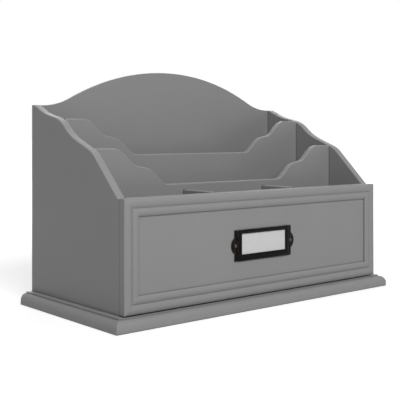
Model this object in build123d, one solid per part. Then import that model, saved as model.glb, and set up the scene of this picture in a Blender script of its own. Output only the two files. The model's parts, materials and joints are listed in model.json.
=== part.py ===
from build123d import *

import math
import os

os.makedirs("parts", exist_ok=True)

# Desktop envelope sorter with a drawer, painted board, all sizes in millimetres.
# Origin: centre of the base's footprint, on the surface that it stands on.
# +X to the right, -Y to the front (the drawer opens that way), +Z up.

# ---- Boards ----
side_thickness = 8.0
board_thickness = 6.0
small_divider_thickness = 5.0
back_thickness = 2.5
edge_round = 1.2
back_edge_round = 0.6

# ---- Case ----
case_width = 330.0
case_depth = 150.5
front_height = 99.4
rear_corner_height = 182.4
rear_flat = 1.6
arch_rise = 38.7
arch_flat = 28.0
arch_sweep_radius = 70.0
round_room = 0.98

# ---- Base board and its moulded edge ----
base_thickness = 11.8
base_side_overhang = 12.8
base_front_overhang = 8.5
quirk_depth = 1.2
quirk_flat = 0.6
ovolo_width = 6.0
ovolo_height = 8.4
base_corner_round = 1.2
base_foot_round = 0.8

# ---- Slots ----
compartment_depth = 43.5
front_slot_depth = 45.0
floor_thickness = 6.0
drawer_top_clearance = 1.7
small_divider_rise = 0.6

# ---- Stepped dividers, the same outline at two heights ----
rear_divider_low = 133.5
front_divider_low = 105.9
low_half_width = 77.8
lower_step_run = 16.9
lower_step_rise = 15.5
shoulder_run = 18.6
shoulder_rise = 3.6
upper_step_run = 17.5
upper_step_rise = 16.0
crown_radius = 19.0
cove_radius = 11.0

# ---- Stepped top of the sides, set out from the dividers ----
shoulder_lead = 3.5
shoulder_fall = 1.0
rear_rise_run = 18.5
sweep_rise = 6.5
sweep_radius = 90.0
drop_run = 16.6
drop_fall = 14.8
side_crown_radius = 37.7
side_cove_radius = 59.0
nose_lead = 6.7
nose_fall = 2.6
nose_radius = 29.0
nose_flat = 2.4

# ---- Drawer front and its mitred frame ----
front_thickness = 6.0
front_lift = 1.0
closing_gap = 0.3
outer_reed_width = 8.2
inner_reed_width = 7.2
reed_edge = 1.1
reed_height = 1.4

# ---- Drawer box ----
drawer_wall = 6.0
drawer_height = 56.0
drawer_lift = 0.3
drawer_side_gap = 1.0
drawer_rear_gap = 6.0
drawer_bottom_thickness = 3.0
drawer_bottom_height = 6.0
drawer_groove = 3.0
panel_clearance = 0.1
inner_front_drop = 4.0

# ---- Label holder, its card and pins ----
label_offset = -1.8
label_drop = 1.1
plate_width = 75.2
plate_height = 29.3
plate_thickness = 0.8
ear_radius = 9.0
ear_reach = 4.1
window_width = 58.0
window_height = 19.4
window_rise = 1.2
rim_width = 5.35
rim_shoulder = 1.5
rim_ridge = 2.3
side_ridge_inset = 3.3
top_ridge_inset = 2.2
foot_ridge_inset = 4.0
rim_lip = 1.7
card_slot_depth = 1.1
card_slot_width = 64.0
card_slot_foot = 1.4
card_thickness = 0.5
card_gap = 0.3
card_headroom = 0.8
pin_spacing = 73.2
pin_head_radius = 1.7
pin_head_height = 0.9
pin_radius = 0.6
pin_length = 5.2

# ---- Screws and brads ----
screw_radius = 1.6
screw_clearance = 0.1
base_screw_length = 24.0
base_screw_head_radius = 3.1
base_screw_head_height = 1.9
base_screw_sink = 0.4
base_screw_inset = 22.0
front_screw_length = 10.5
front_screw_head_radius = 3.4
front_screw_head_height = 2.0
front_screw_inset_x = 60.0
front_screw_inset_z = 17.0
brad_radius = 0.7
brad_clearance = 0.05
brad_length = 22.0
brad_inset = 9.0
brad_set = 0.5
back_brad_length = 16.0
back_brad_spread = 100.0

# ---- Places worked out from the sizes above ----
half_width = case_width / 2
inner_half = half_width - side_thickness
base_width = case_width + 2 * base_side_overhang
base_depth = base_front_overhang + front_thickness + closing_gap + case_depth
deck = base_thickness
front_face = -base_depth / 2 + base_front_overhang
front_back = front_face + front_thickness
case_front = front_back + closing_gap
case_back = base_depth / 2
rail_back = case_front + board_thickness
front_divider_face = rail_back + compartment_depth
rear_divider_face = front_divider_face + board_thickness + front_slot_depth
back_face = case_back - back_thickness
floor_under = deck + drawer_lift + drawer_height + drawer_top_clearance
floor_top = floor_under + floor_thickness
case_top = deck + front_height
step_rise = lower_step_rise + shoulder_rise + upper_step_rise
rear_divider_top = deck + rear_divider_low + step_rise
front_divider_top = deck + front_divider_low + step_rise
front_foot = deck + front_lift
front_middle = (front_foot + case_top) / 2
front_plane = Plane(origin=(0, front_face, front_middle), x_dir=(1, 0, 0), z_dir=(0, -1, 0))
label_middle = front_middle - label_drop
label_plane = Plane(origin=(label_offset, front_face, label_middle), x_dir=(1, 0, 0), z_dir=(0, -1, 0))
reed_crest = reed_edge + reed_height
frame_width = outer_reed_width + inner_reed_width
drawer_half = inner_half - drawer_side_gap
drawer_inner_half = drawer_half - drawer_wall
drawer_under = deck + drawer_lift
drawer_top = drawer_under + drawer_height
drawer_back = back_face - drawer_rear_gap
drawer_floor = drawer_under + drawer_bottom_height


def block(x0, x1, y0, y1, z0, z1):
    """A square-edged board between two corners."""
    size = Box(x1 - x0, y1 - y0, z1 - z0)
    return Pos((x0 + x1) / 2, (y0 + y1) / 2, (z0 + z1) / 2) * size


def rod(start, direction, radius, length):
    """A round rod from a start point along a direction."""
    return Plane(origin=start, z_dir=direction) * Cylinder(
        radius, length, align=(Align.CENTER, Align.CENTER, Align.MIN)
    )


def fitted_radii(points, radii):
    """The corner radii, made smaller only where two rounds would meet on a short run."""
    reach = [0]
    for before, corner, after, radius in zip(points, points[1:], points[2:], radii):
        course_in = math.atan2(corner[1] - before[1], corner[0] - before[0])
        course_out = math.atan2(after[1] - corner[1], after[0] - corner[0])
        bend = math.remainder(course_out - course_in, math.tau)
        reach.append(radius * abs(math.tan(bend / 2)))
    reach.append(0)
    room = []
    for start, end, used, used_next in zip(points, points[1:], reach, reach[1:]):
        taken = used + used_next
        room.append(round_room * math.dist(start, end) / taken if taken else 1)
    return [radius * min(1, left, right) for radius, left, right in zip(radii, room, room[1:])]


def outline_board(points, radii, plane, thickness):
    """A board cut to a run of rounded corners, closed by one straight edge."""
    top = FilletPolyline(*points, radius=fitted_radii(points, radii))
    face = make_face(top.edges() + Line(points[-1], points[0]).edges())
    return extrude(plane * face, amount=thickness)


def ease_top(board, across, height, radius=edge_round):
    """Round both long rims of a board's top edge, wherever they run above a height."""
    rims = []
    for edge in board.edges():
        lowest = min((edge @ 0).Z, (edge @ 1).Z)
        if lowest > height and abs((edge % 0.5).dot(across)) < 0.5:
            rims.append(edge)
    return fillet(rims, radius)


# ---------------------------------------------------------------- fasteners


def base_screw_places():
    """Screws up through the base into the lower edges of the sides."""
    middle = (case_front + case_back) / 2
    places = []
    for x in (-half_width + side_thickness / 2, half_width - side_thickness / 2):
        for y in (case_front + base_screw_inset, middle, case_back - base_screw_inset):
            places.append((x, y))
    return places


def base_screw(x, y):
    head_seat = base_screw_sink + base_screw_head_height
    head = Pos(x, y, base_screw_sink) * Cone(
        base_screw_head_radius,
        screw_radius,
        base_screw_head_height,
        align=(Align.CENTER, Align.CENTER, Align.MIN),
    )
    shank = rod((x, y, head_seat), (0, 0, 1), screw_radius, base_screw_length)
    return head + shank


def with_base_screw_holes(board):
    """Cut the countersunk holes of the base screws out of a board."""
    seat = base_screw_sink + base_screw_head_height
    reach = seat + base_screw_length + screw_clearance
    mouth_radius = base_screw_head_radius + screw_clearance
    for x, y in base_screw_places():
        bore = rod((x, y, 0), (0, 0, 1), screw_radius + screw_clearance, reach)
        mouth = rod((x, y, 0), (0, 0, 1), mouth_radius, base_screw_sink)
        sink = Pos(x, y, base_screw_sink) * Cone(
            mouth_radius,
            screw_radius + screw_clearance,
            base_screw_head_height,
            align=(Align.CENTER, Align.CENTER, Align.MIN),
        )
        board = board - bore - mouth - sink
    return board


def side_brad_places():
    """Brads driven level through a side into the ends of the boards, as (y, z)."""
    floor_mid = floor_under + floor_thickness / 2
    floor_front = case_front + brad_inset
    floor_back = back_face - brad_inset
    rail_mid = case_front + board_thickness / 2
    places = [(floor_front + share * (floor_back - floor_front), floor_mid) for share in (0, 0.5, 1)]
    places.append((rail_mid, case_top - brad_inset))
    places.append((rail_mid, floor_top + brad_inset))
    for face, top in ((front_divider_face, front_divider_top), (rear_divider_face, rear_divider_top)):
        places.append((face + board_thickness / 2, top - brad_inset))
        places.append((face + board_thickness / 2, floor_top + brad_inset))
    return places


def side_brads(hand):
    start = hand * (half_width - brad_set)
    places = side_brad_places()
    return Compound([rod((start, y, z), (-hand, 0, 0), brad_radius, brad_length) for y, z in places])


def with_side_brad_holes(board, hands=(-1, 1)):
    """Cut the holes of the side brads out of a board, for one side or for both."""
    for hand in hands:
        start = hand * (half_width - brad_set + brad_clearance)
        length = brad_length + 2 * brad_clearance
        for y, z in side_brad_places():
            board = board - rod((start, y, z), (-hand, 0, 0), brad_radius + brad_clearance, length)
    return board


def back_brad_places():
    """Brads from behind through the back into the sides and the compartment floor, as (x, z)."""
    side_mid = half_width - side_thickness / 2
    low = deck + 2 * brad_inset
    high = deck + rear_corner_height - 2 * brad_inset
    places = []
    for x in (-side_mid, side_mid):
        for share in (0, 0.5, 1):
            places.append((x, low + share * (high - low)))
    for x in (-back_brad_spread, 0, back_brad_spread):
        places.append((x, floor_under + floor_thickness / 2))
    return places


def back_brads():
    start = case_back - back_edge_round
    places = back_brad_places()
    return Compound([rod((x, start, z), (0, -1, 0), brad_radius, back_brad_length) for x, z in places])


def with_back_brad_holes(board):
    start = case_back - back_edge_round + brad_clearance
    length = back_brad_length + 2 * brad_clearance
    for x, z in back_brad_places():
        board = board - rod((x, start, z), (0, -1, 0), brad_radius + brad_clearance, length)
    return board


# ---------------------------------------------------------------- base and case


def moulded_edge(half, z_top):
    """Half outline of the base across its moulded edge, from the middle outwards."""
    arc_top = z_top - quirk_depth
    arc_foot = arc_top - ovolo_height
    arc_start = half - ovolo_width
    ledge = arc_start - quirk_flat
    return [
        Line((0, z_top), (ledge, z_top)),
        Line((ledge, z_top), (ledge, arc_top)),
        Line((ledge, arc_top), (arc_start, arc_top)),
        EllipticalCenterArc((arc_start, arc_foot), ovolo_width, ovolo_height, start_angle=0, arc_size=90),
        Line((half, arc_foot), (half, base_foot_round)),
        ThreePointArc(
            (half, base_foot_round),
            (half - base_foot_round * (1 - math.sqrt(0.5)), base_foot_round * (1 - math.sqrt(0.5))),
            (half - base_foot_round, 0),
        ),
        Line((half - base_foot_round, 0), (0, 0)),
    ]


def base_board():
    """Two moulded bars crossed, so that the moulding meets in mitres at the front corners."""
    across = make_face(moulded_edge(base_width / 2, deck) + [Line((0, 0), (0, deck))])
    across = extrude(Plane.XZ * across, amount=base_depth, both=True)
    across = across + mirror(across, about=Plane.YZ)
    along = make_face(moulded_edge(base_depth / 2, deck) + [Line((0, 0), (0, deck))])
    along = Plane(origin=(0, 0, 0), x_dir=(0, -1, 0), z_dir=(-1, 0, 0)) * along
    along = extrude(along, amount=base_width, both=True)
    along = along + block(-base_width, base_width, 0, base_depth / 2, 0, deck)
    footprint = RectangleRounded(base_width, base_depth, base_corner_round)
    board = across & along & extrude(footprint, amount=deck)
    return with_base_screw_holes(board)


def side_top_points():
    """Corners of a side's stepped top edge from the rear to the front, as (y, z)."""
    upper = (rear_divider_face - shoulder_lead, rear_divider_top - shoulder_fall)
    lower = (front_divider_face - nose_lead, front_divider_top - nose_fall)
    return [
        (back_face, deck + rear_corner_height),
        (back_face - rear_flat, deck + rear_corner_height),
        (back_face - rear_flat - rear_rise_run, upper[1] + sweep_rise),
        upper,
        (upper[0] - drop_run, upper[1] - drop_fall),
        lower,
        (case_front + nose_flat, case_top),
        (case_front, case_top),
    ]


def side_panel(hand):
    """A side with its stepped top; hand is -1 for the left one and 1 for the right one."""
    points = [(back_face, deck)] + side_top_points() + [(case_front, deck)]
    radii = [
        0,
        edge_round,
        sweep_radius,
        side_crown_radius,
        side_cove_radius,
        nose_radius,
        edge_round,
        0,
    ]
    start = inner_half if hand > 0 else -half_width
    plane = Plane(origin=(start, 0, 0), x_dir=(0, 1, 0), z_dir=(1, 0, 0))
    board = outline_board(points, radii, plane, side_thickness)
    board = ease_top(board, Vector(1, 0, 0), case_top - edge_round)
    board = with_back_brad_holes(with_base_screw_holes(board))
    return with_side_brad_holes(board, (hand,))


def back_panel():
    """The thin arched back, on the rear edges of the sides."""
    flat_height = deck + rear_corner_height
    crown = flat_height + arch_rise
    spring = half_width - arch_flat
    sweep_limit = round_room * (half_width**2 - spring**2) / (2 * arch_rise)
    outline = [
        Line((-half_width, deck), (half_width, deck)),
        Line((half_width, deck), (half_width, flat_height)),
        Line((half_width, flat_height), (spring, flat_height)),
        ThreePointArc((spring, flat_height), (0, crown), (-spring, flat_height)),
        Line((-spring, flat_height), (-half_width, flat_height)),
        Line((-half_width, flat_height), (-half_width, deck)),
    ]
    face = make_face(outline)
    hollows = [v for v in face.vertices() if abs(abs(v.X) - spring) < 0.01]
    face = fillet(hollows, min(arch_sweep_radius, sweep_limit))
    plane = Plane(origin=(0, case_back, 0), x_dir=(1, 0, 0), z_dir=(0, -1, 0))
    board = extrude(plane * face, amount=back_thickness)
    board = ease_top(board, Vector(0, 1, 0), flat_height - edge_round, back_edge_round)
    return with_back_brad_holes(board)


def stepped_divider(face_y, low):
    """A divider between the sides, low in the middle, with two steps up at each end."""
    knee = low_half_width + lower_step_run
    heel = knee + shoulder_run
    crest = heel + upper_step_run
    right = [
        (low_half_width, low),
        (knee, low + lower_step_rise),
        (heel, low + lower_step_rise + shoulder_rise),
        (crest, low + step_rise),
        (inner_half, low + step_rise),
    ]
    left = [(-x, z) for x, z in reversed(right)]
    points = [(-inner_half, floor_top)] + left + right + [(inner_half, floor_top)]
    steps = [0, crown_radius, cove_radius, crown_radius, cove_radius]
    plane = Plane(origin=(0, face_y + board_thickness, 0), x_dir=(1, 0, 0), z_dir=(0, -1, 0))
    board = outline_board(points, steps + steps[::-1], plane, board_thickness)
    board = ease_top(board, Vector(0, 1, 0), low - edge_round)
    return with_side_brad_holes(board)


def front_rail():
    board = block(-inner_half, inner_half, case_front, rail_back, floor_top, case_top)
    board = ease_top(board, Vector(0, 1, 0), case_top - edge_round)
    return with_side_brad_holes(board)


def compartment_floor():
    board = block(-inner_half, inner_half, case_front, back_face, floor_under, floor_top)
    return with_side_brad_holes(with_back_brad_holes(board))


def small_divider(hand):
    """One of the two short dividers that part the space behind the rail in three."""
    bay = (2 * inner_half - 2 * small_divider_thickness) / 3
    middle = hand * (bay + small_divider_thickness) / 2
    x0 = middle - small_divider_thickness / 2
    x1 = middle + small_divider_thickness / 2
    top = case_top + small_divider_rise
    board = block(x0, x1, rail_back, front_divider_face, floor_top, top)
    return ease_top(board, Vector(1, 0, 0), top - edge_round)


# ---------------------------------------------------------------- drawer front


def label_pin_places():
    half = pin_spacing / 2
    return [(label_offset - half, label_middle), (label_offset + half, label_middle)]


def front_screw_places():
    """Screws from inside the drawer through its inner front, as (x, z)."""
    middle = (drawer_floor + drawer_top - inner_front_drop) / 2
    places = []
    for x in (-front_screw_inset_x, front_screw_inset_x):
        for z in (middle - front_screw_inset_z / 2, middle + front_screw_inset_z / 2):
            places.append((x, z))
    return places


def front_screws():
    """Pan-head screws, heads inside the drawer."""
    screws = []
    seat = front_back + drawer_wall
    for x, z in front_screw_places():
        head = rod((x, seat, z), (0, 1, 0), front_screw_head_radius, front_screw_head_height)
        head = fillet(head.edges().group_by(Axis.Y)[-1], front_screw_head_height / 2)
        shank = rod((x, seat, z), (0, -1, 0), screw_radius, front_screw_length)
        screws.append(head + shank)
    return Compound(screws)


def with_front_screw_holes(board):
    reach = front_screw_length + screw_clearance
    seat = front_back + drawer_wall
    for x, z in front_screw_places():
        board = board - rod((x, seat, z), (0, -1, 0), screw_radius + screw_clearance, reach)
    return board


def drawer_front_panel():
    board = block(-half_width, half_width, front_face, front_back, front_foot, case_top)
    rear_rim = board.edges().filter_by(Axis.X).sort_by(Axis.Z)[-2:].sort_by(Axis.Y)[-1]
    board = fillet(rear_rim, edge_round)
    reach = pin_length - plate_thickness + brad_clearance
    for x, z in label_pin_places():
        board = board - rod((x, front_face, z), (0, 1, 0), pin_radius + brad_clearance, reach)
    return with_front_screw_holes(board)


def reeded_section():
    """Section of the frame moulding: u runs inwards from its outer edge, v stands out."""
    groove = outer_reed_width
    inner_middle = (groove + frame_width) / 2
    outline = [
        Line((0, 0), (0, reed_edge)),
        ThreePointArc((0, reed_edge), (groove / 2, reed_crest), (groove, reed_edge)),
        ThreePointArc((groove, reed_edge), (inner_middle, reed_crest), (frame_width, reed_edge)),
        Line((frame_width, reed_edge), (frame_width, 0)),
        Line((frame_width, 0), (0, 0)),
    ]
    return make_face(outline)


def frame_moulding(side):
    """The moulding along one edge of the drawer front, cut to a mitre at both ends."""
    height = case_top - front_foot
    level = side in ("bottom", "top")
    length = case_width if level else height
    offset = (height if level else case_width) / 2
    section_plane = Plane(origin=(-length / 2, 0, 0), x_dir=(0, 1, 0), z_dir=(1, 0, 0))
    strip = extrude(section_plane * reeded_section(), amount=length)
    mitred = Polyline(
        (-length / 2, 0),
        (length / 2, 0),
        (length / 2 - frame_width, frame_width),
        (-length / 2 + frame_width, frame_width),
        close=True,
    )
    strip = strip & extrude(make_face(mitred), amount=reed_crest)
    turn = {"bottom": 0, "right": 90, "top": 180, "left": 270}[side]
    strip = Rot(0, 0, turn) * (Pos(0, -offset, 0) * strip)
    return front_plane * strip


# ---------------------------------------------------------------- drawer box


def drawer_floor_space(clearance):
    """The space of the drawer's bottom panel, with a clearance all round."""
    reach = drawer_groove + clearance
    return block(
        -drawer_inner_half - reach,
        drawer_inner_half + reach,
        front_back + drawer_wall - reach,
        drawer_back - drawer_wall + reach,
        drawer_floor - drawer_bottom_thickness - clearance,
        drawer_floor + clearance,
    )


def drawer_bottom():
    return drawer_floor_space(0)


def drawer_brad_places():
    """Brads through the drawer's sides into its inner front and its back, as (y, z)."""
    places = []
    for y in (front_back + drawer_wall / 2, drawer_back - drawer_wall / 2):
        for z in (drawer_floor + brad_inset, drawer_top - inner_front_drop - brad_inset):
            places.append((y, z))
    return places


def drawer_brads():
    brads = []
    for hand in (-1, 1):
        start = hand * (drawer_half - brad_set)
        for y, z in drawer_brad_places():
            brads.append(rod((start, y, z), (-hand, 0, 0), brad_radius, brad_length))
    return Compound(brads)


def with_drawer_brad_holes(board):
    for hand in (-1, 1):
        start = hand * (drawer_half - brad_set + brad_clearance)
        length = brad_length + 2 * brad_clearance
        for y, z in drawer_brad_places():
            board = board - rod((start, y, z), (-hand, 0, 0), brad_radius + brad_clearance, length)
    return board


def drawer_side(hand):
    x0, x1 = sorted((hand * drawer_half, hand * drawer_inner_half))
    board = block(x0, x1, front_back, drawer_back, drawer_under, drawer_top)
    board = ease_top(board, Vector(1, 0, 0), drawer_top - edge_round)
    return with_drawer_brad_holes(board - drawer_floor_space(panel_clearance))


def drawer_end(y0, y1, top):
    """The inner front or the back of the drawer, between its sides."""
    board = block(-drawer_inner_half, drawer_inner_half, y0, y1, drawer_under, top)
    board = ease_top(board, Vector(0, 1, 0), top - edge_round)
    return with_drawer_brad_holes(board - drawer_floor_space(panel_clearance))


def drawer_inner_front():
    top = drawer_top - inner_front_drop
    return with_front_screw_holes(drawer_end(front_back, front_back + drawer_wall, top))


# ---------------------------------------------------------------- label holder


def label_holder():
    """A stamped plate with a raised mitred rim round its window and an ear at each end."""
    rim_span = window_width + 2 * rim_width
    outer = Rectangle(rim_span, plate_height)
    ridge_height = plate_height - top_ridge_inset - foot_ridge_inset
    ridge_rise = (foot_ridge_inset - top_ridge_inset) / 2
    ridge = Pos(0, ridge_rise) * Rectangle(rim_span - 2 * side_ridge_inset, ridge_height)
    opening = Pos(0, window_rise) * Rectangle(window_width, window_height)
    ear = Pos(plate_width / 2 + ear_reach - ear_radius, 0) * Circle(ear_radius)
    flange = Rectangle(plate_width, plate_height) + ear + mirror(ear, about=Plane.YZ)
    plate = extrude(flange, amount=plate_thickness)
    foot = extrude(outer, amount=rim_shoulder)
    roof = loft([Pos(0, 0, rim_shoulder) * outer, Pos(0, 0, rim_ridge) * ridge])
    dish = loft([Pos(0, 0, rim_ridge) * ridge, Pos(0, 0, rim_lip) * opening])
    window = extrude(opening, amount=rim_ridge)
    slot_foot = -plate_height / 2 + card_slot_foot
    half_slot = card_slot_width / 2
    slot = block(-half_slot, half_slot, slot_foot, plate_height / 2, 0, card_slot_depth)
    holder = plate + foot + roof - dish - window - slot
    pin_hole = Cylinder(pin_radius + brad_clearance, 3 * plate_thickness)
    for x in (-pin_spacing / 2, pin_spacing / 2):
        holder = holder - Pos(x, 0, 0) * pin_hole
    return label_plane * holder


def label_card():
    half = card_slot_width / 2 - card_gap
    low = -plate_height / 2 + card_slot_foot + card_gap
    high = plate_height / 2 - card_headroom
    return label_plane * block(-half, half, low, high, card_gap, card_gap + card_thickness)


def label_pins():
    """Round-headed escutcheon pins through the ears of the label holder."""
    pins = []
    for x, z in label_pin_places():
        seat = front_face - plate_thickness
        head = rod((x, seat, z), (0, -1, 0), pin_head_radius, pin_head_height)
        head = fillet(head.edges().group_by(Axis.Y)[0], pin_head_height * 0.9)
        pins.append(head + rod((x, seat, z), (0, 1, 0), pin_radius, pin_length))
    return Compound(pins)


# ---------------------------------------------------------------- one file for each piece

pieces = {
    "base_board": base_board(),
    "base_screws": Compound([base_screw(x, y) for x, y in base_screw_places()]),
    "left_side": side_panel(-1),
    "right_side": side_panel(1),
    "left_side_brads": side_brads(-1),
    "right_side_brads": side_brads(1),
    "back_panel": back_panel(),
    "back_brads": back_brads(),
    "compartment_floor": compartment_floor(),
    "front_rail": front_rail(),
    "rear_divider": stepped_divider(rear_divider_face, deck + rear_divider_low),
    "front_divider": stepped_divider(front_divider_face, deck + front_divider_low),
    "left_small_divider": small_divider(-1),
    "right_small_divider": small_divider(1),
    "drawer_front_panel": drawer_front_panel(),
    "frame_moulding_top": frame_moulding("top"),
    "frame_moulding_bottom": frame_moulding("bottom"),
    "frame_moulding_left": frame_moulding("left"),
    "frame_moulding_right": frame_moulding("right"),
    "drawer_inner_front": drawer_inner_front(),
    "drawer_left_side": drawer_side(-1),
    "drawer_right_side": drawer_side(1),
    "drawer_back": drawer_end(drawer_back - drawer_wall, drawer_back, drawer_top),
    "drawer_bottom": drawer_bottom(),
    "drawer_brads": drawer_brads(),
    "drawer_front_screws": front_screws(),
    "label_holder": label_holder(),
    "label_pins": label_pins(),
    "label_card": label_card(),
}

for name, piece in pieces.items():
    export_step(piece, f"parts/{name}.step")
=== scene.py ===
"""Desktop envelope sorter with a drawer: finishes, label frame, lights and camera."""
import json
import math

import bmesh
import bpy
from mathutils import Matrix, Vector


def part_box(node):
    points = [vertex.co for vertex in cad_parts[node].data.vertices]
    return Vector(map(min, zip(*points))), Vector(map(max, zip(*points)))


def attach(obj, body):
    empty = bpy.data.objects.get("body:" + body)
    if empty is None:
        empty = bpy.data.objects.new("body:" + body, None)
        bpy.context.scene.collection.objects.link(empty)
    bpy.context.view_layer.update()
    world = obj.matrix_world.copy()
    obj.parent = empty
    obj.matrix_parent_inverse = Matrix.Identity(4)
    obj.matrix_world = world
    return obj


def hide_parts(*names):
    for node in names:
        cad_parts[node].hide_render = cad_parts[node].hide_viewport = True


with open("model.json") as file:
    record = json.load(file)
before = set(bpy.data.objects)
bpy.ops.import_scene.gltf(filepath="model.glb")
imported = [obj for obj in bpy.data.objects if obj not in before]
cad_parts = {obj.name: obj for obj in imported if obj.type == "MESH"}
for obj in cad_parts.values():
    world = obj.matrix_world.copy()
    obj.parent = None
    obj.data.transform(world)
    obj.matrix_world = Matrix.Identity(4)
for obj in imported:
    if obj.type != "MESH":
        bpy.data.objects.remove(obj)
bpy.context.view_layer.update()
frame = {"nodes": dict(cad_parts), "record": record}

# ------------------------------------------------------------------ studio sizes, in metres

FLOOR_SIZE = 40.0
FLOOR_DROP = 0.0002
FLOOR_COLOUR = 0.65
FLOOR_GLOW = 0.55
FADE_START = 0.3
FADE_END = 0.9
AMBIENT = 0.06
LAMP_TARGET = (0, 0, 0.1)
LAMPS = (
    # name, place, side length, watts
    ("key", (-0.55, -1.5, 1.2), 1.0, 30.0),
    ("top", (0.0, 0.1, 1.9), 1.2, 7.0),
    ("back", (1.1, 1.5, 0.9), 1.2, 12.0),
)

# ------------------------------------------------------------------ camera

CAMERA_PLACE = (-0.5678, -0.6543, 0.1669)
CAMERA_TURN = math.radians(39.99)
FRAME_PIXELS = 400
FOCAL_PIXELS = 838.3
HORIZON_ROW = 132.85
SENSOR_WIDTH = 36.0

# ------------------------------------------------------------------ finishes

PAINT_TONE = 0.245
PAINT_ROUGHNESS = 0.5
# Bronzes: dark tone, lighter tone on edges and ridges (partly rubbing, partly painted highlight), specular
# level.
HOLDER_BRONZE = ((0.003, 0.0026, 0.0024, 1.0), (0.085, 0.066, 0.052, 1.0), 0.06)
PIN_BRONZE = ((0.03, 0.027, 0.024, 1.0), (0.11, 0.10, 0.09, 1.0), 0.4)

# ------------------------------------------------------------------ places taken from the frame

HOLDER_LOW, HOLDER_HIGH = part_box("label_holder")
CARD_LOW, CARD_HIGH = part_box("label_card")
PANEL_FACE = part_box("drawer_front_panel")[0].y
HOLDER_MIDDLE = (HOLDER_LOW + HOLDER_HIGH) / 2

# ------------------------------------------------------------------ label frame sizes, in metres

EAR_RADIUS = 0.009
EAR_REACH = 0.0041
PLATE_THICKNESS = 0.0008
RIM_FOOT = 0.0009
RIM_SHOULDER = 0.0015
SHOULDER_MIDDLE = 0.0018
RIM_LIP = 0.0017
RIM_RIDGE = PANEL_FACE - HOLDER_LOW.y
RIM_SPAN = 0.0687
WINDOW_WIDTH = 0.058
WINDOW_HEIGHT = 0.0194
WINDOW_RISE = 0.0012
SIDE_RIDGE_INSET = 0.0033
TOP_RIDGE_INSET = 0.0022
FOOT_RIDGE_INSET = 0.004
RIDGE_WIDTH = 0.0006
SLOT_GAP = 0.0003
EDGE_SOFTNESS = 0.00022
RIM_SOFTNESS = 0.8 * EDGE_SOFTNESS
SOFT_EDGE_SEGMENTS = 3
SHARP_ANGLE = math.radians(25)
FLATNESS = 0.00001


# ------------------------------------------------------------------ helpers for node materials


def new_material(name):
    """A node material, its tree and its Principled shader."""
    material = bpy.data.materials.new(name)
    material.use_nodes = True
    tree = material.node_tree
    return material, tree, tree.nodes["Principled BSDF"]


def add_node(tree, kind, **settings):
    node = tree.nodes.new(kind)
    for key, value in settings.items():
        if key in node.inputs.keys():
            node.inputs[key].default_value = value
        else:
            setattr(node, key, value)
    return node


def number_mix(tree, low, high, mask):
    """A Map Range node that turns a 0 to 1 mask into a value between low and high."""
    node = tree.nodes.new("ShaderNodeMapRange")
    node.inputs["To Min"].default_value = low
    node.inputs["To Max"].default_value = high
    tree.links.new(mask, node.inputs["Value"])
    return node.outputs["Result"]


def colour_mix(tree, first, second, mask):
    """A colour between two colours; each is a tuple or a socket."""
    node = tree.nodes.new("ShaderNodeMix")
    node.data_type = "RGBA"
    for value, index in ((first, 6), (second, 7)):
        if isinstance(value, tuple):
            node.inputs[index].default_value = value
        else:
            tree.links.new(value, node.inputs[index])
    tree.links.new(mask, node.inputs[0])
    return node.outputs[2]


def grey(value):
    return (value, value, value, 1.0)


def group_socket(tree, name, direction, kind="NodeSocketFloat", default=None):
    item = tree.interface.new_socket(name=name, in_out=direction, socket_type=kind)
    if default is not None:
        item.default_value = default
    return item


# ------------------------------------------------------------------ shared surface effects


def make_paint_film():
    """Sprayed paint on smoothed fibreboard: broad mottling, fine orange peel, a few dust specks."""
    tree = bpy.data.node_groups.new("paint_film", "ShaderNodeTree")
    group_socket(tree, "Mottle Size", "INPUT", default=22.0)
    group_socket(tree, "Peel Size", "INPUT", default=900.0)
    group_socket(tree, "Mottle", "OUTPUT")
    group_socket(tree, "Peel", "OUTPUT")
    group_socket(tree, "Specks", "OUTPUT")
    entry = tree.nodes.new("NodeGroupInput")
    out = tree.nodes.new("NodeGroupOutput")
    place = tree.nodes.new("ShaderNodeTexCoord")
    mottle = add_node(tree, "ShaderNodeTexNoise", Detail=4.0, Roughness=0.55)
    peel = add_node(tree, "ShaderNodeTexNoise", Detail=2.0, Roughness=0.5)
    specks = add_node(tree, "ShaderNodeTexVoronoi", feature="F1", Scale=140.0)
    speck_mask = tree.nodes.new("ShaderNodeMapRange")
    speck_mask.inputs["From Min"].default_value = 0.10
    speck_mask.inputs["From Max"].default_value = 0.03
    for texture in (mottle, peel, specks):
        tree.links.new(place.outputs["Object"], texture.inputs["Vector"])
    tree.links.new(entry.outputs["Mottle Size"], mottle.inputs["Scale"])
    tree.links.new(entry.outputs["Peel Size"], peel.inputs["Scale"])
    tree.links.new(specks.outputs["Distance"], speck_mask.inputs["Value"])
    tree.links.new(mottle.outputs["Fac"], out.inputs["Mottle"])
    tree.links.new(peel.outputs["Fac"], out.inputs["Peel"])
    tree.links.new(speck_mask.outputs["Result"], out.inputs["Specks"])
    return tree


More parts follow.
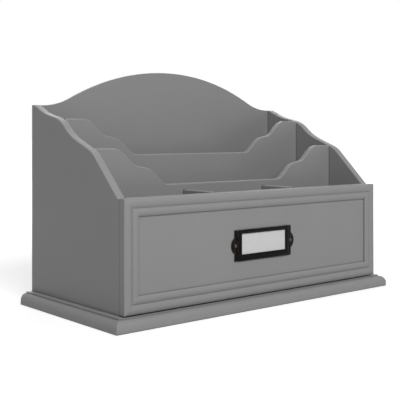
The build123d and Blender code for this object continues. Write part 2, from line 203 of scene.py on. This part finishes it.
def make_brushed_lines():
    """Fine drawn scratches along one axis, for plated and worn metal."""
    tree = bpy.data.node_groups.new("fine_scratches", "ShaderNodeTree")
    group_socket(tree, "Size", "INPUT", default=600.0)
    group_socket(tree, "Lines", "OUTPUT")
    group_socket(tree, "Stain", "OUTPUT")
    entry = tree.nodes.new("NodeGroupInput")
    out = tree.nodes.new("NodeGroupOutput")
    place = tree.nodes.new("ShaderNodeTexCoord")
    stretch = tree.nodes.new("ShaderNodeMapping")
    stretch.inputs["Scale"].default_value = (0.12, 1.0, 1.0)
    lines = add_node(tree, "ShaderNodeTexNoise", Detail=3.0, Roughness=0.6)
    stain = add_node(tree, "ShaderNodeTexNoise", Scale=260.0, Detail=4.0, Roughness=0.6)
    tree.links.new(place.outputs["Object"], stretch.inputs["Vector"])
    tree.links.new(stretch.outputs["Vector"], lines.inputs["Vector"])
    tree.links.new(place.outputs["Object"], stain.inputs["Vector"])
    tree.links.new(entry.outputs["Size"], lines.inputs["Scale"])
    tree.links.new(lines.outputs["Fac"], out.inputs["Lines"])
    tree.links.new(stain.outputs["Fac"], out.inputs["Stain"])
    return tree


def make_edge_wear_and_highlight():
    """A mask that is 1 on edges, broken up by noise: where handling rubs a finish, and on the bronze also a
    painted highlight along ridges.
    """
    tree = bpy.data.node_groups.new("edge_wear_and_highlight", "ShaderNodeTree")
    group_socket(tree, "Reach", "INPUT", default=0.0008)
    group_socket(tree, "Patch Size", "INPUT", default=160.0)
    group_socket(tree, "Edge Start", "INPUT", default=0.995)
    group_socket(tree, "Edge End", "INPUT", default=0.85)
    group_socket(tree, "Wear And Highlight", "OUTPUT")
    entry = tree.nodes.new("NodeGroupInput")
    out = tree.nodes.new("NodeGroupOutput")
    place = tree.nodes.new("ShaderNodeTexCoord")
    rounded = add_node(tree, "ShaderNodeBevel", samples=8)
    surface = tree.nodes.new("ShaderNodeNewGeometry")
    likeness = add_node(tree, "ShaderNodeVectorMath", operation="DOT_PRODUCT")
    edge = tree.nodes.new("ShaderNodeMapRange")
    patches = add_node(tree, "ShaderNodeTexNoise", Detail=3.0, Roughness=0.6)
    broken = tree.nodes.new("ShaderNodeMapRange")
    broken.inputs["From Min"].default_value = 0.38
    broken.inputs["From Max"].default_value = 0.6
    wear = add_node(tree, "ShaderNodeMath", operation="MULTIPLY")
    tree.links.new(entry.outputs["Reach"], rounded.inputs["Radius"])
    tree.links.new(entry.outputs["Edge Start"], edge.inputs["From Min"])
    tree.links.new(entry.outputs["Edge End"], edge.inputs["From Max"])
    tree.links.new(rounded.outputs["Normal"], likeness.inputs[0])
    tree.links.new(surface.outputs["Normal"], likeness.inputs[1])
    tree.links.new(likeness.outputs["Value"], edge.inputs["Value"])
    tree.links.new(place.outputs["Object"], patches.inputs["Vector"])
    tree.links.new(entry.outputs["Patch Size"], patches.inputs["Scale"])
    tree.links.new(patches.outputs["Fac"], broken.inputs["Value"])
    tree.links.new(edge.outputs["Result"], wear.inputs[0])
    tree.links.new(broken.outputs["Result"], wear.inputs[1])
    tree.links.new(wear.outputs["Value"], out.inputs["Wear And Highlight"])
    return tree


def make_painted_crevice_shade():
    """Painted shade: an ambient occlusion mask that is 1 deep in each inner corner and groove, where shade
    falls.
    """
    tree = bpy.data.node_groups.new("painted_crevice_shade", "ShaderNodeTree")
    group_socket(tree, "Reach", "INPUT", default=0.003)
    group_socket(tree, "Depth", "OUTPUT")
    entry = tree.nodes.new("NodeGroupInput")
    out = tree.nodes.new("NodeGroupOutput")
    shelter = add_node(tree, "ShaderNodeAmbientOcclusion", samples=8)
    depth = tree.nodes.new("ShaderNodeMapRange")
    depth.inputs["From Min"].default_value = 0.85
    depth.inputs["From Max"].default_value = 0.35
    tree.links.new(entry.outputs["Reach"], shelter.inputs["Distance"])
    tree.links.new(shelter.outputs["AO"], depth.inputs["Value"])
    tree.links.new(depth.outputs["Result"], out.inputs["Depth"])
    return tree


paint_film = make_paint_film()
edge_wear_and_highlight = make_edge_wear_and_highlight()
# painted shade for each inner corner and groove of the paint
painted_crevice_shade = make_painted_crevice_shade()
fine_scratches = make_brushed_lines()


def place_group(tree, group, **values):
    node = tree.nodes.new("ShaderNodeGroup")
    node.node_tree = group
    for key, value in values.items():
        node.inputs[key.replace("_", " ")].default_value = value
    return node


def add_bump(tree, shader, height, strength, distance):
    bump = add_node(tree, "ShaderNodeBump", Strength=strength, Distance=distance)
    tree.links.new(height, bump.inputs["Height"])
    tree.links.new(bump.outputs["Normal"], shader.inputs["Normal"])
    return bump


# ------------------------------------------------------------------ materials


def grey_paint(name, tone, roughness):
    """Satin grey paint; tone is its linear grey."""
    material, tree, shader = new_material(name)
    film = place_group(tree, paint_film, Peel_Size=900.0)
    colour = colour_mix(tree, grey(tone * 0.95), grey(tone * 1.05), film.outputs["Mottle"])
    colour = colour_mix(tree, colour, grey(tone * 0.8), film.outputs["Specks"])
    edges = place_group(tree, edge_wear_and_highlight, Reach=0.0007, Patch_Size=90.0)
    colour = colour_mix(tree, colour, grey(tone * 1.12), edges.outputs["Wear And Highlight"])
    # Painted shade: the paint darkens to 0.35 of its tone deep in each inner corner and groove.
    corner_shade = place_group(tree, painted_crevice_shade, Reach=0.0025)
    colour = colour_mix(tree, colour, grey(tone * 0.35), corner_shade.outputs["Depth"])
    tree.links.new(colour, shader.inputs["Base Color"])
    shine = number_mix(tree, roughness - 0.05, roughness + 0.07, film.outputs["Mottle"])
    tree.links.new(shine, shader.inputs["Roughness"])
    shader.inputs["Specular IOR Level"].default_value = 0.4
    add_bump(tree, shader, film.outputs["Peel"], 0.12, 0.0002)
    return material


def dark_bronze(name, dark, rubbed_and_highlight, specular):
    """Antique bronze: nearly black, with lighter brown on edges and ridges, partly worn by rubbing and partly
    a painted highlight.
    """
    material, tree, shader = new_material(name)
    metal = place_group(tree, fine_scratches, Size=900.0)
    # The edge mask is set to catch the rim's gentle ridges: there the lighter brown is partly rubbing and
    # partly a painted highlight.
    edges = place_group(tree, edge_wear_and_highlight, Reach=0.0006, Patch_Size=220.0, Edge_Start=0.999, Edge_End=0.985)
    stained = tuple(1.8 * part for part in dark[:3]) + (1.0,)
    colour = colour_mix(tree, dark, stained, metal.outputs["Stain"])
    colour = colour_mix(tree, colour, rubbed_and_highlight, edges.outputs["Wear And Highlight"])
    tree.links.new(colour, shader.inputs["Base Color"])
    shine = number_mix(tree, 0.26, 0.42, metal.outputs["Stain"])
    tree.links.new(shine, shader.inputs["Roughness"])
    shader.inputs["Specular IOR Level"].default_value = specular
    add_bump(tree, shader, metal.outputs["Lines"], 0.12, 0.0002)
    return material


def card_stock():
    """Matt white card with a faint fibre."""
    material, tree, shader = new_material("card_stock")
    film = place_group(tree, paint_film, Mottle_Size=180.0, Peel_Size=2600.0)
    colour = colour_mix(tree, (0.595, 0.595, 0.60, 1.0), (0.645, 0.645, 0.65, 1.0), film.outputs["Mottle"])
    tree.links.new(colour, shader.inputs["Base Color"])
    shader.inputs["Roughness"].default_value = 0.85
    add_bump(tree, shader, film.outputs["Peel"], 0.15, 0.0001)
    return material


def zinc_plate(name, tone):
    """Bright plated steel of screws and brads."""
    material, tree, shader = new_material(name)
    metal = place_group(tree, fine_scratches, Size=1500.0)
    colour = colour_mix(tree, grey(tone * 0.85), (tone, tone * 0.98, tone * 0.9, 1.0), metal.outputs["Stain"])
    tree.links.new(colour, shader.inputs["Base Color"])
    shine = number_mix(tree, 0.25, 0.45, metal.outputs["Lines"])
    tree.links.new(shine, shader.inputs["Roughness"])
    shader.inputs["Metallic"].default_value = 1.0
    add_bump(tree, shader, metal.outputs["Lines"], 0.1, 0.0001)
    return material


PAINT = grey_paint("grey_paint", PAINT_TONE, PAINT_ROUGHNESS)
BRONZE = dark_bronze("dark_bronze", *HOLDER_BRONZE)
PINS = dark_bronze("bronze_pins", *PIN_BRONZE)
CARD = card_stock()
ZINC = zinc_plate("zinc_screws", 0.6)
STEEL = zinc_plate("steel_brads", 0.45)

FINISHES = {
    "grey_paint": PAINT,
    "dark_bronze": BRONZE,
    "bronze_pins": PINS,
    "card": CARD,
    "zinc_screws": ZINC,
    "steel_brads": STEEL,
}


def finish_nodes():
    """Gives every CAD node the finish of its material slot."""
    slot_of = {row["node"]: row["material_slot"] for row in frame["record"]["subparts"]}
    for name, node in frame["nodes"].items():
        finish = FINISHES[slot_of[name]]
        if not node.material_slots:
            node.data.materials.append(finish)
        for material_slot in node.material_slots:
            material_slot.material = finish


# ------------------------------------------------------------------ label frame


def start_editing(piece):
    bpy.ops.object.select_all(action="DESELECT")
    piece.select_set(True)
    bpy.context.view_layer.objects.active = piece
    bpy.ops.object.mode_set(mode="EDIT")
    bpy.ops.mesh.select_mode(type="FACE")
    bpy.ops.mesh.select_all(action="SELECT")


def select_faces(piece, wanted):
    """Selects the faces whose centre passes a test, in edit mode."""
    bpy.ops.mesh.select_all(action="DESELECT")
    mesh = bmesh.from_edit_mesh(piece.data)
    for face in mesh.faces:
        face.select = wanted(face.calc_center_median())
    bmesh.update_edit_mesh(piece.data)


def add_flat(name, width, height, level):
    """A flat sheet in the XY plane, centred, at a height above it."""
    bpy.ops.object.select_all(action="DESELECT")
    bpy.ops.mesh.primitive_plane_add(size=1, location=(0, 0, level))
    sheet = bpy.context.object
    sheet.name = name
    sheet.scale = (width, height, 1)
    bpy.ops.object.transform_apply(location=True, rotation=True, scale=True)
    return sheet


def soften(piece, width):
    """Rounds a piece's sharp edges as stamping does."""
    bpy.ops.object.mode_set(mode="OBJECT")
    bevel = piece.modifiers.new("soft_edges", "BEVEL")
    bevel.width = width
    bevel.segments = SOFT_EDGE_SEGMENTS
    bevel.limit_method = "ANGLE"
    bevel.angle_limit = SHARP_ANGLE
    bpy.ops.object.modifier_apply(modifier=bevel.name)


def flange(plate_width, plate_height):
    """The flat plate, open at the top and in the middle where the card slides in."""
    plate = add_flat("label_frame", plate_width, plate_height, 0)
    card_half = (CARD_HIGH.x - CARD_LOW.x) / 2 + SLOT_GAP
    card_foot = CARD_LOW.z - SLOT_GAP - HOLDER_MIDDLE.z
    start_editing(plate)
    for place, across in (
        ((-card_half, 0, 0), (1, 0, 0)),
        ((card_half, 0, 0), (1, 0, 0)),
        ((0, card_foot, 0), (0, 1, 0)),
    ):
        bpy.ops.mesh.select_all(action="SELECT")
        bpy.ops.mesh.bisect(plane_co=place, plane_no=across)
    select_faces(plate, lambda centre: abs(centre.x) < card_half and centre.y > card_foot)
    bpy.ops.mesh.delete(type="FACE")
    bpy.ops.mesh.select_all(action="SELECT")
    bpy.ops.mesh.extrude_region_move(TRANSFORM_OT_translate={"value": (0, 0, PLATE_THICKNESS)})
    soften(plate, EDGE_SOFTNESS)
    return plate


def ear(hand, plate_half):
    """The round ear at one end of the plate, for its pin."""
    bpy.ops.object.select_all(action="DESELECT")
    centre = hand * (plate_half + EAR_REACH - EAR_RADIUS)
    bpy.ops.mesh.primitive_cylinder_add(
        vertices=96, radius=EAR_RADIUS, depth=PLATE_THICKNESS, location=(centre, 0, PLATE_THICKNESS / 2)
    )
    lobe = bpy.context.object
    bpy.ops.object.transform_apply(location=True, rotation=True, scale=True)
    start_editing(lobe)
    bpy.ops.mesh.bisect(
        plane_co=(hand * (plate_half - EDGE_SOFTNESS), 0, 0), plane_no=(hand, 0, 0), clear_inner=True
    )
    soften(lobe, EDGE_SOFTNESS)
    return lobe


def draw_to(old, new):
    """Extrudes the selected top from one rectangle to the next; each is (width, height, rise, level)."""
    shift = (0, new[2] - old[2], new[3] - old[3])
    bpy.ops.mesh.extrude_region_move(TRANSFORM_OT_translate={"value": shift})
    factors = (new[0] / old[0], new[1] / old[1], 1)
    bpy.ops.transform.resize(value=factors, center_override=(0, new[2], new[3]))


def rim(height):
    """The raised, mitred rim round the window: shoulder, ridge, and a slope down to the lip."""
    ridge_rise = (FOOT_RIDGE_INSET - TOP_RIDGE_INSET) / 2
    ridge_span = RIM_SPAN - 2 * SIDE_RIDGE_INSET
    ridge_height = height - TOP_RIDGE_INSET - FOOT_RIDGE_INSET
    courses = (
        (RIM_SPAN, height, 0, RIM_FOOT),
        (RIM_SPAN, height, 0, RIM_SHOULDER),
        (RIM_SPAN - SIDE_RIDGE_INSET, (height + ridge_height) / 2, ridge_rise / 2, SHOULDER_MIDDLE),
        (ridge_span + RIDGE_WIDTH, ridge_height + RIDGE_WIDTH, ridge_rise, RIM_RIDGE),
        (ridge_span - RIDGE_WIDTH, ridge_height - RIDGE_WIDTH, ridge_rise, RIM_RIDGE),
        (WINDOW_WIDTH, WINDOW_HEIGHT, WINDOW_RISE, RIM_LIP),
        (WINDOW_WIDTH, WINDOW_HEIGHT, WINDOW_RISE, RIM_FOOT),
    )
    ring = add_flat("rim", RIM_SPAN, height, RIM_FOOT)
    start_editing(ring)
    for old, new in zip(courses, courses[1:]):
        draw_to(old, new)
    bpy.ops.mesh.delete(type="FACE")
    select_faces(ring, lambda centre: centre.z < RIM_FOOT + FLATNESS)
    bpy.ops.mesh.delete(type="FACE")
    close_underside(ring)
    soften(ring, RIM_SOFTNESS)
    return ring


def close_underside(ring):
    """Bridges the rim's two lowest edge loops."""
    bpy.ops.mesh.select_mode(type="EDGE")
    bpy.ops.mesh.select_all(action="DESELECT")
    mesh = bmesh.from_edit_mesh(ring.data)
    for edge in mesh.edges:
        edge.select = edge.is_boundary
    bmesh.update_edit_mesh(ring.data)
    bpy.ops.mesh.bridge_edge_loops()


def label_frame():
    """Stamped label frame: plate with ears, and the rim, seated on the drawer's front."""
    width = HOLDER_HIGH.x - HOLDER_LOW.x - 2 * EAR_REACH
    height = HOLDER_HIGH.z - HOLDER_LOW.z
    plate = flange(width, height)
    parts = [plate, ear(-1, width / 2), ear(1, width / 2), rim(height)]
    bpy.ops.object.select_all(action="DESELECT")
    for part in parts:
        part.select_set(True)
    bpy.context.view_layer.objects.active = plate
    bpy.ops.object.join()
    start_editing(plate)
    bpy.ops.mesh.normals_make_consistent(inside=False)
    bpy.ops.object.mode_set(mode="OBJECT")
    plate.rotation_euler = (math.radians(90), 0, 0)
    plate.location = (HOLDER_MIDDLE.x, PANEL_FACE, HOLDER_MIDDLE.z)
    bpy.ops.object.transform_apply(location=True, rotation=True, scale=True)
    bpy.ops.object.shade_smooth_by_angle(angle=math.radians(30))
    plate.data.materials.append(BRONZE)
    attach(plate, "drawer")
    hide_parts("label_holder")


# ------------------------------------------------------------------ studio


def floor_white():
    """Matt white floor that fades to plain white with distance, as a lit sweep does."""
    material, tree, shader = new_material("floor_white")
    shader.inputs["Base Color"].default_value = grey(FLOOR_COLOUR)
    shader.inputs["Roughness"].default_value = 0.9
    shader.inputs["Specular IOR Level"].default_value = 0.1
    shader.inputs["Emission Color"].default_value = grey(1.0)
    place = tree.nodes.new("ShaderNodeTexCoord")
    distance = add_node(tree, "ShaderNodeVectorMath", operation="LENGTH")
    tree.links.new(place.outputs["Object"], distance.inputs[0])
    fade = tree.nodes.new("ShaderNodeMapRange")
    fade.inputs["From Min"].default_value = FADE_START
    fade.inputs["From Max"].default_value = FADE_END
    fade.inputs["To Min"].default_value = FLOOR_GLOW
    fade.inputs["To Max"].default_value = 1.0
    tree.links.new(distance.outputs["Value"], fade.inputs["Value"])
    glow = add_node(tree, "ShaderNodeMath", operation="MULTIPLY")
    tree.links.new(seen_directly(tree), glow.inputs[0])
    tree.links.new(fade.outputs["Result"], glow.inputs[1])
    tree.links.new(glow.outputs["Value"], shader.inputs["Emission Strength"])
    return material


def seen_directly(tree):
    """1 for camera, mirror and glass rays, and 0 for the light that the object gets."""
    path = tree.nodes.new("ShaderNodeLightPath")
    seen = path.outputs["Is Camera Ray"]
    for name in ("Is Glossy Ray", "Is Transmission Ray"):
        either = add_node(tree, "ShaderNodeMath", operation="MAXIMUM")
        tree.links.new(seen, either.inputs[0])
        tree.links.new(path.outputs[name], either.inputs[1])
        seen = either.outputs["Value"]
    return seen


def add_floor():
    bpy.ops.mesh.primitive_plane_add(size=FLOOR_SIZE, location=(0, 0, -FLOOR_DROP))
    floor = bpy.context.object
    floor.name = "floor"
    floor.data.materials.append(floor_white())


def add_softbox(name, place, side, power):
    light = bpy.data.lights.new(name, "AREA")
    light.shape = "RECTANGLE"
    light.size = light.size_y = side
    light.energy = power
    lamp = bpy.data.objects.new(name, light)
    lamp.location = place
    lamp.rotation_euler = (Vector(LAMP_TARGET) - Vector(place)).to_track_quat("-Z", "Y").to_euler()
    bpy.context.collection.objects.link(lamp)


def add_world():
    """White all round; what the camera sees directly is plain white."""
    world = bpy.data.worlds.new("studio")
    bpy.context.scene.world = world
    world.use_nodes = True
    tree = world.node_tree
    background = tree.nodes["Background"]
    strength = number_mix(tree, AMBIENT, 1.0, seen_directly(tree))
    tree.links.new(strength, background.inputs["Strength"])
    background.inputs["Color"].default_value = (1.0, 1.0, 1.0, 1.0)


def add_camera():
    """Level camera from the left front, its frame shifted down to take in the whole sorter."""
    camera_data = bpy.data.cameras.new("camera")
    camera = bpy.data.objects.new("camera", camera_data)
    bpy.context.collection.objects.link(camera)
    camera.location = CAMERA_PLACE
    camera.rotation_euler = (math.radians(90), 0, -CAMERA_TURN)
    camera_data.sensor_width = SENSOR_WIDTH
    camera_data.lens = FOCAL_PIXELS / FRAME_PIXELS * SENSOR_WIDTH
    camera_data.shift_y = (HORIZON_ROW - FRAME_PIXELS / 2) / FRAME_PIXELS
    camera_data.clip_start = 0.01
    bpy.context.scene.camera = camera


# ------------------------------------------------------------------ build

finish_nodes()
label_frame()
add_floor()
add_world()
for lamp_values in LAMPS:
    add_softbox(*lamp_values)
add_camera()
bpy.context.scene.view_settings.view_transform = "Standard"
